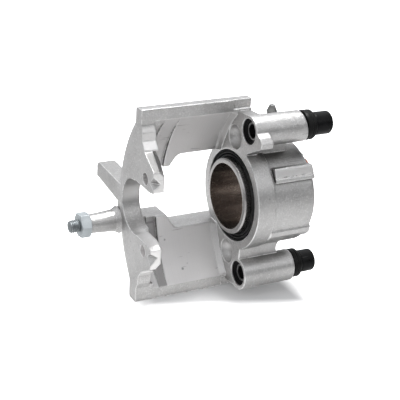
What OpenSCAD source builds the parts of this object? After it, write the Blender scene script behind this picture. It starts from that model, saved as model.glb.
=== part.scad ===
// Single-piston floating disc brake caliper, without its carrier, pads and guide bolts.
// Millimetres. +X runs along the piston axis from the claw towards the cylinder.
// +Y points away from the disc's axle, through the back of the bridge. +Z is up as the part stands.
// The origin is on the piston axis, in the plane of the claw's pad face.

/* [Disc slot] */
// From the claw's pad face to the rim of the piston
pad_slot = 61.1; // [50:0.1:75]
// How far the piston's rim stands in front of the flange
rim_out = 4.3; // [2:0.1:8]
// Thickness of the claw at its fingers
claw_t = 10.6; // [8:0.1:14]

/* [Bridge] */
// Half of the overall height over the two ends of the bridge
half_height = 74.8; // [65:0.1:85]
// How far the near faces of the bridge ends stand in front of the piston axis
near_y = 1; // [0:0.1:4]
// Thickness of the bridge's flat upper end
end_t = 9.2; // [7:0.1:13]
// Thickness of the bridge's flat lower end
lower_end_t = 10.8; // [7:0.1:14]
// Radius of the outer corners of the flat ends at the back
end_round = 2; // [1:0.1:6]
// Height above the axis where the flat ends turn into the arch
end_z = 62.5; // [58:0.1:66]
// How far the bridge's right-hand end lies behind the flange's front face
bridge_over = 11.2; // [6:0.1:16]
// Radius of the back of the bridge
back_r = 102.6; // [95:0.1:115]
// How far the centre of the back's radius lies below the piston axis
back_drop = 56.9; // [50:0.1:65]
// How far the centre of the back's radius lies below the middle of the bridge
back_shift = 2.2; // [0:0.1:4]
// Rounding of the claw's back edge
claw_round = 17; // [8:0.5:20]
// Height where the milled inner arcs meet the near faces
arc_z = 66; // [60:0.1:70]
// Height of the main inner arc over the piston axis
arc_rise = 25.1; // [22:0.1:27]
// Height of the disc groove's arc over the piston axis
disc_rise = 28.4; // [25:0.1:30]
// Height of the innermost arc, next to the claw
claw_rise = 31; // [28:0.1:33]
// Where the innermost arc ends and the disc groove starts
step_a = 8.6; // [5:0.1:12]
// Where the disc groove ends on the upper limb
step_b = 19.8; // [14:0.1:24]
// Where the disc groove ends on the lower limb
lower_step_b = 15.6; // [12:0.1:24]
// Width of the sloped ridge between the main arc and the flange
ridge_w = 5; // [2:0.1:8]
// How far that ridge rises from the arc
ridge_rise = 1.5; // [0.5:0.1:4]
// Length of the step in the near faces of the flat ends, in front of the flange
end_step_len = 3.5; // [2:0.1:8]
// How far the near faces step back there
end_step = 1.2; // [0.5:0.1:3]

/* [Window] */
// Half of the window's height over the disc
window_half = 29.9; // [24:0.1:34]
// Half of the window's height next to the claw
window_neck = 20; // [14:0.1:24]
// Start of the window behind the claw
window_x = 3.3; // [2:0.1:8]
// Length of the window's neck
neck_len = 21.2; // [14:0.1:28]
// Length over which the window widens behind its neck
window_slope = 5; // [3:0.1:9]
// Radius of the window's corners
window_round = 4; // [2:0.1:8]
// Draft of the window's walls on both sides of their parting line, in degrees
window_draft = 3; // [0:0.5:6]
// Height of the window's parting line over the piston axis
parting_y = 26; // [22:0.5:34]

/* [Claw] */
// Half width of the notch between the fingers
notch_half = 20.6; // [16:0.1:25]
// How far the round end of the notch has its centre above the axis
notch_y = 7.4; // [2:0.1:12]
// How far the round end's centre lies below the middle of the bridge
notch_drop = 0.8; // [0:0.1:2]
// How far the finger tips reach below the axis
tip_y = 23.8; // [18:0.1:30]
// Height of the outer corner of each tip
tip_z = 36.9; // [32:0.1:42]
// Radius of the spring hole in each finger
spring_hole_r = 4.5; // [3.5:0.1:5.5]
// Distance of the spring holes below the piston axis
spring_hole_y = 10.5; // [8:0.1:14]
// Distance of the spring holes above and below the notch's middle
spring_hole_z = 28; // [25:0.1:32]

/* [Cylinder] */
// Radius of the piston
piston_r = 28.5; // [25:0.1:32]
// Thickness of the piston's wall
piston_wall = 3.6; // [2.5:0.1:8]
// Length of the piston
piston_len = 43; // [38:0.5:48]
// Thickness of the piston's closed end
piston_floor = 6; // [4:0.5:10]
// Radial clearance of the piston in the cylinder
piston_gap = 0.08; // [0.03:0.01:0.1]
// Width of the space for the dust boot around the piston
boot_space = 6.4; // [5.5:0.1:9]
// Depth of the seat for the dust boot
boot_seat_t = 6.2; // [4:0.1:9]
// Thickness of the cylinder's front ring around the boot seat
ring_wall = 6.1; // [4:0.1:10]
// Length of the front ring
ring_len = 14.4; // [10:0.1:20]
// How far the cylinder behind the ring steps in from it
ring_step = 1; // [0.5:0.1:3]
// Thickness of the cylinder's closed rear end
cyl_floor = 8.9; // [7:0.1:14]
// Free space behind the piston
oil_gap = 2; // [1:0.1:4]
// Rounding of the cylinder's rear edge
cyl_round = 4; // [2:0.5:10]

/* [Flange and guide bosses] */
// Thickness of the flange plate
flange_t = 9.5; // [7:0.1:13]
// Height of each guide boss above and below the piston axis
guide_z = 56.5; // [50:0.1:64]
// How far the guide bosses lie below the piston axis
guide_y = 18.3; // [12:0.1:24]
// Outer radius of a guide boss
boss_r = 11.5; // [10:0.1:14]
// How far the lower boss reaches further down than its circle
lower_boss_drop = 1.2; // [0:0.1:3]
// Radius of the scoops between the cylinder and the bosses
scoop_r = 9.4; // [7:0.1:10]
// How far in front of the flange the scoops have their centres
scoop_out = 1.8; // [1:0.1:5]
// Length of the guide bosses from the flange's front face
boss_len = 43.6; // [36:0.1:50]
// Radius of the bore in a guide boss
boss_bore_r = 9.5; // [8:0.1:11]
// Length of the webs between the bosses and the cylinder
web_len = 34.1; // [26:0.1:40]

/* [Guide parts] */
// Outer radius of the steel guide sleeve
sleeve_r = 6.5; // [5.5:0.1:7.5]
// Bore radius of the guide sleeve
sleeve_bore_r = 5.2; // [4:0.1:6]
// How far inside the boss the guide sleeve starts
sleeve_in = 3; // [1:0.1:8]
// Length of the guide sleeve
sleeve_len = 42; // [35:0.5:44]
// Radial clearance of the sleeve in its rubber bush
sleeve_gap = 0.06; // [0.02:0.01:0.1]
// Radius of the bush's collar behind the boss
collar_r = 11.1; // [10:0.1:13]
// Length of the collar
collar_len = 7.4; // [5:0.1:9]
// Radius of the end cap
cap_r = 8.6; // [7:0.1:10]
// Length of the upper end cap, which is not pushed fully home
upper_cap_len = 15.8; // [10:0.1:18]
// Length of the lower end cap
lower_cap_len = 13.8; // [10:0.1:18]

/* [Stud and arm] */
// Height of the stud's axis above the piston axis along Y
stud_y = 37; // [30:0.1:42]
// Distance of the stud's axis below the piston axis along Z
stud_z = 23.8; // [18:0.1:30]
// Radius of the stud
stud_r = 5; // [4:0.5:6]
// Mean radius of the thread, where it is screwed into the nut and the boss
thread_mean_r = 4.6; // [3.6:0.1:5.6]
// Length of the stud's boss in front of the claw's outer face
stud_boss_len = 22.7; // [15:0.1:30]
// Radius of the stud's boss at its end
stud_boss_r = 7.1; // [6.5:0.1:9]
// Radius of the stud's boss at its root
stud_root_r = 8.6; // [7.5:0.1:11]
// Width across flats of the nut
nut_af = 17; // [15:1:19]
// Height of the nut
nut_h = 8; // [6:0.1:10]
// How far the stud stands out of the nut
stud_out = 7.2; // [4:0.1:12]
// Length of the arm to its tip, from the piston axis along Y
arm_tip_y = 77; // [60:0.5:84]
// Width of the arm
arm_w = 13; // [10:0.1:16]
// Height of the arm at its root
arm_root_h = 15; // [10:0.1:20]
// Height of the arm at its tip
arm_tip_h = 12.4; // [8:0.1:16]
// Radius of the arm's rounded tip corners
arm_round = 4.5; // [2:0.1:6]

/* [Bleed screw, inlet and pin] */
// Distance of the bleed screw's axis in front of the cylinder's rear face
bleed_back = 17.2; // [12:0.1:24]
// Position of the bleed screw along Y
bleed_y = 4.75; // [0:0.1:10]
// Length of the bleed screw above its boss
bleed_out = 20; // [14:0.1:26]
// How far the bleed screw's boss stands out of the cylinder
bleed_boss_h = 6; // [3:0.1:10]
// Radius of the bleed screw's boss
bleed_boss_r = 8; // [7:0.1:9]
// Radius of the bleed screw's thread
bleed_r = 5; // [4:0.5:6]
// Width across flats of the bleed screw
bleed_af = 11; // [8:1:13]
// Height of the bleed screw's hexagon
bleed_hex_h = 6; // [4:0.1:8]
// Radius of the bleed screw's neck
bleed_neck_r = 3.4; // [2.5:0.1:4]
// Radius of the bead that holds the bleed hose
bleed_bead_r = 4.1; // [3:0.1:5]
// Position of the inlet below the piston axis
inlet_y = 15.5; // [10:0.1:20]
// Position of the inlet above the piston axis
inlet_z = 21.4; // [14:0.1:26]
// Radius of the inlet plug's head
plug_r = 7; // [6:0.1:9]
// Position of the locating pin below the piston axis
pin_y = 11.6; // [8:0.1:16]
// Position of the locating pin above the piston axis
pin_z = 30; // [24:0.1:33]

/* [Hidden] */
$fn = 96;
eps = 0.01;
far = 200;
x0 = -claw_t;
neck_x = window_x + neck_len;
flange_x = pad_slot + rim_out;
plate_end_x = flange_x + flange_t;
boss_end_x = flange_x + boss_len;
web_end_x = flange_x + web_len;
bore_r = piston_r + piston_gap;
piston_bore_r = piston_r - piston_wall;
boot_seat_r = piston_r + boot_space;
ring_r = boot_seat_r + ring_wall;
cyl_r = ring_r - ring_step;
boot_seat_x = flange_x + boot_seat_t;
bridge_end_x = flange_x + bridge_over;
end_step_x = flange_x - end_step_len;
piston_end_x = pad_slot + piston_len;
bore_end_x = piston_end_x + oil_gap;
cyl_end_x = bore_end_x + cyl_floor;
bush_bore_r = sleeve_r + sleeve_gap;
sleeve_x = flange_x + sleeve_in;
collar_end_x = boss_end_x + collar_len;
ring_end_x = flange_x + ring_len;
arch_y = back_r - back_drop - 15;
arch_z = end_z - 5;
ledge_z = arc_z - 19.4;
ledge_y = near_y + 6.8;
tip_flare = 1.2;
inlet_r = 5;
passage_r = 1.6;
pin_r = 1.5;
claw_cut_y = 9.5;
arm_tip_low = -3.4;
spine_y = 38;
pin_x = cyl_end_x - 8;
bleed_x = cyl_end_x - bleed_back;
stud_boss_x = x0 - stud_boss_len;
nut_x = stud_boss_x - nut_h;
stud_x = nut_x - stud_out;
press = 0.05;
seal_r = piston_r + 3;
seal_x = boot_seat_x + 5;
seal_w = 3.6;
groove_x = flange_x + 0.6;
groove_w = 2.4;
groove_t = 1.3;
screw_gap = 0.05;
bleed_boss_z = cyl_r + bleed_boss_h;
seat_gap = 0.2;
bleed_floor_z = bleed_boss_z - 13;
bleed_tip_z = bleed_boss_z + bleed_out;
bleed_nose_h = 4.8;
bleed_nose_r = 1.9;
bleed_hole_r = 1.1;
bead_h = 1.6;
rim_h = 1;
mouth_t = 1.4;
mouth_depth = 2.2;
cap_edge = 1;
spigot_len = 3;
plug_head = 3;
plug_len = 6;
pin_out = 2;
port_slope = 9;
nut_turn = 22.6;
nut_edge = 0.3;
thread_lead = 1.2;
nut_play = 0.3;
rib_in = 0.7 * cyl_r;
web_in = 28;
web_y = 6;
web_round = 7;

// Radius of the circle through (-near_y, arc_z) whose top is at height rise
function arc_radius(rise) = (pow(arc_z, 2) + pow(rise + near_y, 2)) / (2 * (rise + near_y));

// A cylinder along X from xa to xb at (y, z)
module x_rod(r, xa, xb, y = 0, z = 0) {
    translate([xa, y, z])
        rotate([0, 90, 0])
            cylinder(r = r, h = xb - xa);
}

// A cone along X from radius ra at xa to radius rb at xb
module x_cone(ra, rb, xa, xb, y = 0, z = 0) {
    translate([xa, y, z])
        rotate([0, 90, 0])
            cylinder(r1 = ra, r2 = rb, h = xb - xa);
}

// A plate with an outline of (y, z) points from xa to xb
module x_plate(pts, xa, xb) {
    translate([xa, 0, 0])
        rotate([90, 0, 90])
            linear_extrude(height = xb - xa)
                polygon(pts);
}

// A 2-D outline in (y, z) from xa to xb
module x_shape(xa, xb) {
    translate([xa, 0, 0])
        rotate([90, 0, 90])
            linear_extrude(height = xb - xa)
                children();
}

module x_box(xa, xb, ya, yb, za, zb) {
    translate([xa, ya, za])
        cube([xb - xa, yb - ya, zb - za]);
}

// The child and its mirror image below the piston axis
module both_ends() {
    children();
    mirror([0, 0, 1])
        children();
}

// The back of the bridge: a wide cylinder whose edge at the claw is rounded
module back_form() {
    translate([x0, -back_drop, -back_shift])
        rotate([0, 90, 0])
            rotate_extrude()
                union() {
                    square([back_r - claw_round, bridge_end_x - x0]);
                    translate([0, claw_round])
                        square([back_r, bridge_end_x - x0 - claw_round]);
                    translate([back_r - claw_round, claw_round])
                        circle(r = claw_round);
                }
}

// A flat end of the bridge of thickness t, with a rounded outer corner at its back
module flat_end(t) {
    x_shape(x0, bridge_end_x)
        union() {
            translate([-near_y, end_z - 4])
                square([t, half_height - end_round - end_z + 4]);
            translate([-near_y, end_z])
                square([t - end_round, half_height - end_z]);
            translate([t - near_y - end_round, half_height - end_round])
                circle(r = end_round);
        }
}

// The arch of the bridge with its two flat ends, behind the near faces
module bridge_block() {
    intersection() {
        x_plate([[-near_y, end_z], [end_t - near_y, end_z], [arch_y, arch_z], [far, arch_z], [far, -arch_z],
            [arch_y, -arch_z], [lower_end_t - near_y, -end_z], [-near_y, -end_z]], x0, bridge_end_x);
        back_form();
    }
    flat_end(end_t);
    mirror([0, 0, 1])
        flat_end(lower_end_t);
}

// One finger of the claw, in front of the near face
module finger() {
    x_plate([[6, arc_z], [-near_y, ledge_z + 17.1], [-near_y - 2.3, ledge_z + 12.3],
        [-near_y - 2.6, ledge_z + 6.3],
        [-ledge_y, ledge_z + 1], [-ledge_y, ledge_z], [-tip_y, tip_z], [-tip_y, notch_half + tip_flare],
        [-tip_y + 4 * tip_flare, notch_half], [6, notch_half - 1]], x0, 0);
}

// The V notch across the outer edge of a finger tip
module tip_notch() {
    translate([x0, -tip_y + 6, spring_hole_z])
        rotate([0, 0, -45])
            x_plate([[0, 0], [-10, 14.5], [-10, -8.5]], -20, 20);
}

// The slope between the near edge and the pad side of a finger, below its last ledge
module finger_slope() {
    intersection() {
        translate([-claw_t / 2, -ledge_y - 1, ledge_z])
            rotate([0, -40, -36])
                x_box(0, 20, -30, 30, -30, 30);
        x_box(x0, 10, -tip_y - 10, 10, 0, ledge_z);
    }
}

// The taper of a finger tip on its pad side
module tip_taper() {
    translate([0, -tip_y / 2, 0])
        rotate([0, 0, -11])
            x_box(0, 20, -tip_y, 0, 0, ledge_z);
}

// A cut of the arched inner face at height rise over the piston axis
module milled_arc(rise, xa, xb) {
    r = arc_radius(rise);
    x_rod(r, xa, xb, rise - r);
}

// The space for the pads and the disc between the claw and the flange
module disc_space() {
    milled_arc(claw_rise, window_x, step_a + eps);
    intersection() {
        milled_arc(disc_rise, step_a, step_b);
        x_box(0, far, -far, far, -eps, far);
    }
    intersection() {
        milled_arc(disc_rise, step_a, lower_step_b);
        x_box(0, far, -far, far, -far, 0);
    }
    milled_arc(arc_rise, step_a, flange_x - ridge_w);
    ridge_r = arc_radius(arc_rise);
    x_cone(ridge_r, ridge_r - ridge_rise, flange_x - ridge_w - eps, flange_x, arc_rise - ridge_r);
    x_box(0, window_x + eps, -far, claw_cut_y, -arc_z, arc_z);
}

// A space through the bridge from xa to xb of half height h at the parting line, opening towards both sides
module drafted_space(h, xa, xb) {
    open_y = near_y + back_r - back_drop;
    front = h + (parting_y + near_y) * tan(window_draft);
    back = h + (open_y - parting_y) * tan(window_draft);
    x_plate([[-near_y, front], [parting_y, h], [open_y, back], [open_y, -back], [parting_y, -h],
        [-near_y, -front]],
        xa, xb);
}

// The window through the bridge, with its narrow neck next to the claw
module window() {
    corner_x = neck_x + window_slope;
    slope = (window_half - window_neck) / window_slope;
    top = window_half + 3;
    end_x = bridge_end_x + 1;
    upper = [[neck_x, window_neck], [corner_x - 0.3 * window_round, window_half - 0.3 * window_round * slope],
        [corner_x + 0.1 * window_round, window_half - 0.15 * window_round],
        [corner_x + 0.6 * window_round, window_half], [corner_x + 0.9 * window_round, top], [end_x, top]];
    lower = [for (i = [len(upper) - 1 : -1 : 0]) [upper[i][0], -upper[i][1]]];
    drafted_space(window_neck, window_x, neck_x + 2);
    intersection() {
        drafted_space(window_half, neck_x, end_x);
        rotate([90, 0, 0])
            linear_extrude(height = far, center = true)
                polygon(concat(upper, lower));
    }
}

// The notch between the two fingers, with its round end
module claw_notch() {
    x_rod(notch_half, x0 - 1, window_x + 1, notch_y, -notch_drop);
    x_box(x0 - 1, window_x + 1, -far, notch_y, -notch_half, notch_half);
}

module claw_and_bridge() {
    difference() {
        union() {
            bridge_block();
            stud_boss_and_arm();
            both_ends()
                finger();
        }
        disc_space();
        window();
        claw_notch();
        both_ends() {
            x_rod(spring_hole_r, x0 - 1, 1, -spring_hole_y, spring_hole_z);
            tip_notch();
            tip_taper();
            finger_slope();
            x_box(end_step_x, bridge_end_x + 1, -near_y - 1, -near_y + end_step, end_z + 5.3,
                half_height + 1);
        }
    }
}

module flange_outline_upper() {
    x_plate([[28, 24], [24, 50], [2.9, guide_z + 8.5], [-4, guide_z + 10.5], [-guide_y, guide_z + boss_r],
        [-guide_y - 7.7, guide_z + 5.8], [-guide_y - 11.1, guide_z + 2.2], [-guide_y - 15.5, guide_z],
        [-guide_y - 18.7, guide_z - 3.3], [-guide_y - 18.1, guide_z - 7.2], [-guide_y, guide_z - 17],
        [-10, 30]],
        flange_x, plate_end_x);
}

module flange_outline_lower() {
    x_plate([[28, -24], [24, -50], [7, -guide_z - 13], [-5.5, -guide_z - 13], [-guide_y, -guide_z - boss_r],
        [-guide_y - 0.2, -30], [-10, -20]], flange_x, plate_end_x);
}

module cylinder_form() {
    x_rod(ring_r, flange_x, flange_x + ring_len);
    translate([flange_x + eps, 0, 0])
        rotate([0, 90, 0])
            rotate_extrude()
                union() {
                    square([cyl_r, cyl_end_x - flange_x - cyl_round]);
                    square([cyl_r - cyl_round, cyl_end_x - flange_x]);
                    translate([cyl_r - cyl_round, cyl_end_x - flange_x - cyl_round])
                        circle(r = cyl_round);
                }
    x_plate([[-rib_in, cyl_r - 9.5], [-cyl_r + 7.2, cyl_r - 8.6], [-cyl_r + 6.4, cyl_r - 9.2],
        [-cyl_r + 4.5, cyl_r - 14.4],
        [-cyl_r + 5, cyl_r - 15.2], [-cyl_r + 3.7, cyl_r - 16], [-cyl_r + 3.5, cyl_r - 18.6],
        [-rib_in, cyl_r - 20]],
        ring_end_x + 1, cyl_end_x - 1.5);
    x_plate([[-cyl_r + 3.2, 24 - cyl_r], [-cyl_r + 2.6, 22.4 - cyl_r], [-cyl_r + 3.6, 18.6 - cyl_r],
        [-cyl_r + 7, 15 - cyl_r], [-rib_in, 18 - cyl_r], [-rib_in, 24 - cyl_r]], ring_end_x, cyl_end_x - 1.5);
}

module guide_bosses() {
    both_ends()
        x_rod(boss_r, flange_x, boss_end_x, -guide_y, guide_z);
    x_rod(boss_r, flange_x, boss_end_x, -guide_y, -guide_z - lower_boss_drop);
    x_box(plate_end_x - 1, web_end_x, -guide_y + 3, -web_y, web_in, guide_z - 5);
    difference() {
        x_box(plate_end_x - 1, web_end_x, -guide_y - 0.2, -web_y, -guide_z + 5, -web_in);
        translate([web_end_x + web_round - 2, 0, -guide_z + 16])
            rotate([90, 0, 0])
                cylinder(r = web_round, h = far, center = true);
    }
}

// The arm seen along X: it tapers from its root to a tip with one rounded corner
module arm_profile() {
    top = arm_tip_h + arm_tip_low;
    x_shape(x0, x0 + arm_w)
        union() {
            polygon([[20, -arm_root_h / 2], [spine_y, -arm_root_h / 2], [arm_tip_y - arm_round, arm_tip_low],
                [arm_tip_y, arm_tip_low], [arm_tip_y, top - arm_round], [arm_tip_y - arm_round, top],
                [spine_y, arm_root_h / 2], [20, arm_root_h / 2]]);
            translate([arm_tip_y - arm_round, top - arm_round])
                circle(r = arm_round);
        }
}

// The arm seen from above, with its far corner rounded
module arm_plan() {
    translate([x0, 0, -far / 2])
        linear_extrude(height = far)
            union() {
                square([arm_w - arm_round, arm_tip_y]);
                square([arm_w, arm_tip_y - arm_round]);
                translate([arm_w - arm_round, arm_tip_y - arm_round])
                    circle(r = arm_round);
            }
}

module stud_boss_and_arm() {
    x_cone(stud_boss_r, stud_root_r, stud_boss_x, x0, stud_y, -stud_z);
    x_rod(stud_root_r, x0 - eps, x0 + 14, stud_y, -stud_z);
    x_cone(stud_root_r, stud_root_r + 2, x0 - 3, x0 + 0.5, stud_y, -stud_z);
    intersection() {
        arm_profile();
        arm_plan();
    }
    x_plate([[20, arm_root_h / 2], [spine_y, arm_root_h / 2], [spine_y + 1, -stud_z], [20, -stud_z]],
        x0 + 1, x0 + 12);
}

// The round scoop in the flange's front face between the cylinder and a guide boss
module scoop() {
    translate([flange_x - scoop_out, 0, guide_z - scoop_r - 0.8])
        sphere(r = scoop_r);
}

// The sloped flat across the upper part of the rear face
module port_flat() {
    translate([cyl_end_x, 0, inlet_z - plug_r - 2])
        rotate([0, -port_slope, 0])
            x_box(0, far, -far / 2, far / 2, 0, far);
}

module caliper_housing() {
    color("#bdbdba")
        difference() {
            union() {
                claw_and_bridge();
                flange_outline_upper();
                flange_outline_lower();
                cylinder_form();
                guide_bosses();
                translate([bleed_x, bleed_y, bore_r])
                    cylinder(r = bleed_boss_r, h = bleed_boss_z - bore_r);
            }
            x_rod(bore_r, flange_x - 1, bore_end_x);
            x_rod(boot_seat_r, flange_x - 1, boot_seat_x);
            x_rod(seal_r, seal_x, seal_x + seal_w);
            both_ends() {
                x_rod(boss_bore_r, flange_x - 1, boss_end_x + 1, -guide_y, guide_z);
                scoop();
            }
            x_rod(thread_mean_r - press, stud_boss_x - 1, x0 - 4, stud_y, -stud_z);
            translate([bleed_x, bleed_y, bleed_floor_z])
                cylinder(r = bleed_r + screw_gap, h = far);
            translate([bleed_x, bleed_y, 0])
                cylinder(r = passage_r, h = bleed_floor_z + 1);
            x_rod(inlet_r, cyl_end_x - plug_len - 1.5, cyl_end_x + 2, -inlet_y, inlet_z);
            x_rod(passage_r, bore_end_x - 1, cyl_end_x, -inlet_y, inlet_z);
            x_rod(pin_r, pin_x, cyl_end_x + 1, -pin_y, pin_z);
            port_flat();
        }
}

module piston() {
    color("#8f8a84")
        difference() {
            union() {
                x_rod(piston_r, pad_slot + rim_h, piston_end_x);
                x_cone(piston_r - rim_h, piston_r, pad_slot, pad_slot + rim_h);
            }
            x_rod(piston_bore_r, pad_slot - 1, piston_end_x - piston_floor);
            difference() {
                x_rod(piston_r + 1, groove_x, groove_x + groove_w);
                x_rod(piston_r - groove_t, groove_x - 1, groove_x + groove_w + 1);
            }
        }
}

module piston_seal() {
    color("#2b2b2b")
        difference() {
            x_rod(seal_r + press, seal_x + 0.1, seal_x + seal_w - 0.1);
            x_rod(bore_r, seal_x - 1, seal_x + seal_w + 1);
        }
}

// The folded dust boot between the boot seat and the groove in the piston
module dust_boot() {
    color("#1d1d1d")
        translate([flange_x, 0, 0])
            rotate([0, 90, 0])
                rotate_extrude()
                    polygon([[piston_r - 1.2, 0.8], [piston_r + 1.2, 0.8], [piston_r + 1.6, 3.6],
                        [piston_r + 2.6, 3.6],
                        [piston_r + 3.2, 0.9], [piston_r + 4.2, 0.9], [piston_r + 4.6, 3],
                        [boot_seat_r - 1, 2.4],
                        [boot_seat_r + press, 2.4], [boot_seat_r + press, boot_seat_t - 0.2],
                        [piston_r + 0.6, boot_seat_t - 0.2], [piston_r + 0.3, 2.9], [piston_r - 1.2, 2.9]]);
}

module guide_bush(z) {
    color("#161616")
        difference() {
            union() {
                x_rod(boss_bore_r + press, flange_x + 1, boss_end_x + eps, -guide_y, z);
                x_rod(collar_r, boss_end_x, collar_end_x, -guide_y, z);
            }
            x_rod(bush_bore_r, flange_x, collar_end_x + 1, -guide_y, z);
            x_rod(boss_bore_r - mouth_t, flange_x, flange_x + mouth_depth, -guide_y, z);
        }
}

module guide_sleeve(z) {
    color("#9a9a98")
        difference() {
            x_rod(sleeve_r, sleeve_x, sleeve_x + sleeve_len, -guide_y, z);
            x_rod(sleeve_bore_r, sleeve_x - 1, sleeve_x + sleeve_len + 1, -guide_y, z);
        }
}

module end_cap(z, len) {
    cap_end_x = collar_end_x + len;
    color("#202020")
        union() {
            x_rod(cap_r, collar_end_x, cap_end_x - cap_edge, -guide_y, z);
            x_cone(cap_r, cap_r - cap_edge, cap_end_x - cap_edge - eps, cap_end_x, -guide_y, z);
            x_rod(bush_bore_r + press, collar_end_x - spigot_len, collar_end_x + eps, -guide_y, z);
        }
}

module bleed_screw() {
    hex_z = bleed_boss_z + 1.2;
    neck_z = hex_z + bleed_hex_h;
    bead_z = bleed_tip_z - bleed_nose_h;
    color("#b9b9b4")
        translate([bleed_x, bleed_y, 0])
            difference() {
                union() {
                    translate([0, 0, bleed_floor_z + seat_gap])
                        cylinder(r = bleed_r, h = hex_z - bleed_floor_z - seat_gap);
                    translate([0, 0, hex_z])
                        cylinder(r = bleed_af / 2 / cos(30), h = bleed_hex_h, $fn = 6);
                    translate([0, 0, neck_z])
                        cylinder(r = bleed_neck_r, h = bead_z - neck_z);
                    translate([0, 0, bead_z - bead_h])
                        cylinder(r1 = bleed_neck_r, r2 = bleed_bead_r, h = bead_h);
                    translate([0, 0, bead_z - eps])
                        cylinder(r1 = bleed_bead_r, r2 = bleed_nose_r, h = bleed_nose_h + eps);
                }
                translate([0, 0, bleed_floor_z + 3])
                    cylinder(r = bleed_hole_r, h = far);
            }
}

module inlet_plug() {
    color("#c8502a")
        union() {
            x_rod(plug_r, cyl_end_x, cyl_end_x + plug_head, -inlet_y, inlet_z);
            x_rod(inlet_r + press, cyl_end_x - plug_len, cyl_end_x + eps, -inlet_y, inlet_z);
        }
}

module locating_pin() {
    color("#8c8c8a")
        union() {
            x_rod(pin_r + press, pin_x + 0.5, cyl_end_x + pin_out, -pin_y, pin_z);
            x_cone(pin_r + press, pin_r / 2, cyl_end_x + pin_out - eps, cyl_end_x + pin_out + 1, -pin_y,
                pin_z);
        }
}

module outboard_stud() {
    color("#aeb4b8")
        union() {
            x_rod(thread_mean_r, nut_x - nut_play - eps, x0 - 5, stud_y, -stud_z);
            x_rod(stud_r, stud_x + thread_lead, nut_x - nut_play, stud_y, -stud_z);
            x_cone(stud_r - 1, stud_r, stud_x, stud_x + thread_lead + eps, stud_y, -stud_z);
        }
}

module stud_nut() {
    corner_r = nut_af / 2 - nut_edge;
    color("#bcc3c8")
        difference() {
            intersection() {
                translate([nut_x, stud_y, -stud_z])
                    rotate([nut_turn, 0, 0])
                        rotate([0, 90, 0])
                            cylinder(r = nut_af / 2 / cos(30), h = nut_h, $fn = 6);
                x_cone(corner_r, corner_r + 2 * nut_h, nut_x, nut_x + nut_h, stud_y, -stud_z);
                x_cone(corner_r + 2 * nut_h, corner_r, nut_x, nut_x + nut_h, stud_y, -stud_z);
            }
            x_rod(thread_mean_r, nut_x - 1, nut_x + nut_h + 1, stud_y, -stud_z);
        }
}

caliper_housing();
piston();
piston_seal();
dust_boot();
guide_bush(guide_z);  // upper_guide_bush
guide_bush(-guide_z);  // lower_guide_bush
guide_sleeve(guide_z);  // upper_guide_sleeve
guide_sleeve(-guide_z);  // lower_guide_sleeve
end_cap(guide_z, upper_cap_len);  // upper_end_cap
end_cap(-guide_z, lower_cap_len);  // lower_end_cap
bleed_screw();
inlet_plug();
locating_pin();
outboard_stud();
stud_nut();
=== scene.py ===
import math

import bmesh
import bpy
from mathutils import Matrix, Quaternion, Vector


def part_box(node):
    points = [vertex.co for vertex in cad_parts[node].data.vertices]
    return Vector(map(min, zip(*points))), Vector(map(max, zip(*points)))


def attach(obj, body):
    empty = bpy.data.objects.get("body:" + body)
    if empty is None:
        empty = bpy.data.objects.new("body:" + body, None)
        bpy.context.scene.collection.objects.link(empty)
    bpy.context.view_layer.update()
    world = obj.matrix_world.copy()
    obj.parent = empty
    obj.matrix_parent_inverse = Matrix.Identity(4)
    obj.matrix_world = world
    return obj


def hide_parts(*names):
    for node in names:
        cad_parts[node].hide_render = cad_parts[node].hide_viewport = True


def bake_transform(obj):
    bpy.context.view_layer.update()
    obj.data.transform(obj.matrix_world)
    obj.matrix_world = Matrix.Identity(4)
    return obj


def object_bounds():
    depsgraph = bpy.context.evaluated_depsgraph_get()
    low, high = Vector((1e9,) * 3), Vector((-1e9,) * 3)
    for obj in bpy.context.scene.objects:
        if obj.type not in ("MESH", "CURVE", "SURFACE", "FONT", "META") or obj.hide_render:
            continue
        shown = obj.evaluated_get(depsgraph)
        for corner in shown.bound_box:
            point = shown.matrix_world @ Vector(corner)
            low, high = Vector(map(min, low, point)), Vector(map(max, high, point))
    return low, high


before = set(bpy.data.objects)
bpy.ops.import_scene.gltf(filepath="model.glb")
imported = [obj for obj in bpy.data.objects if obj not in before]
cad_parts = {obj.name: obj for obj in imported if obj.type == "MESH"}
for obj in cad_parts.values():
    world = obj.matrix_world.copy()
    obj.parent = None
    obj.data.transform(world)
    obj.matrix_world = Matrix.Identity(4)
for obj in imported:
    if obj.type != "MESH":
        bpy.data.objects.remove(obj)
CAD_BOX = [list(corner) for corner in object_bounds()]
MM = 0.001
PISTON_AXIS = (0.0, 0.0, 0.0)

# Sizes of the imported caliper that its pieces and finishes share, in millimetres
FLANGE_X = 65.4
STUD_Y, STUD_Z = 37.0, -23.8
STUD_R = 5.0
THREAD_PITCH = 1.5
THREAD_DEPTH = 0.61 * THREAD_PITCH
GUIDE_Y = -18.3
GUIDE_Z = 56.5
BUSH_WALL_R = 9.5
COLLAR_END_X = 116.4
BOOT_SEAT_R = 34.9
ARC_CHORD_Z = 66.0
ARC_NEAR_Y = -1.0
RIDGE_RISE = 1.5

# Round faces about an axis along X: Y and Z of the axis, radius, first X and last X
SPRING_HOLES = [(-10.5, z, 4.5, -11.0, 0.0) for z in (28.0, -28.0)]
GUIDE_BORES = [(GUIDE_Y, z, BUSH_WALL_R, 65.0, 110.0) for z in (GUIDE_Z, -GUIDE_Z)]
BOOT_SEAT = (0.0, 0.0, BOOT_SEAT_R, 65.0, 72.0)
NOTCH_END = (7.4, -0.8, 20.6, -11.0, 4.0)

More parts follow.
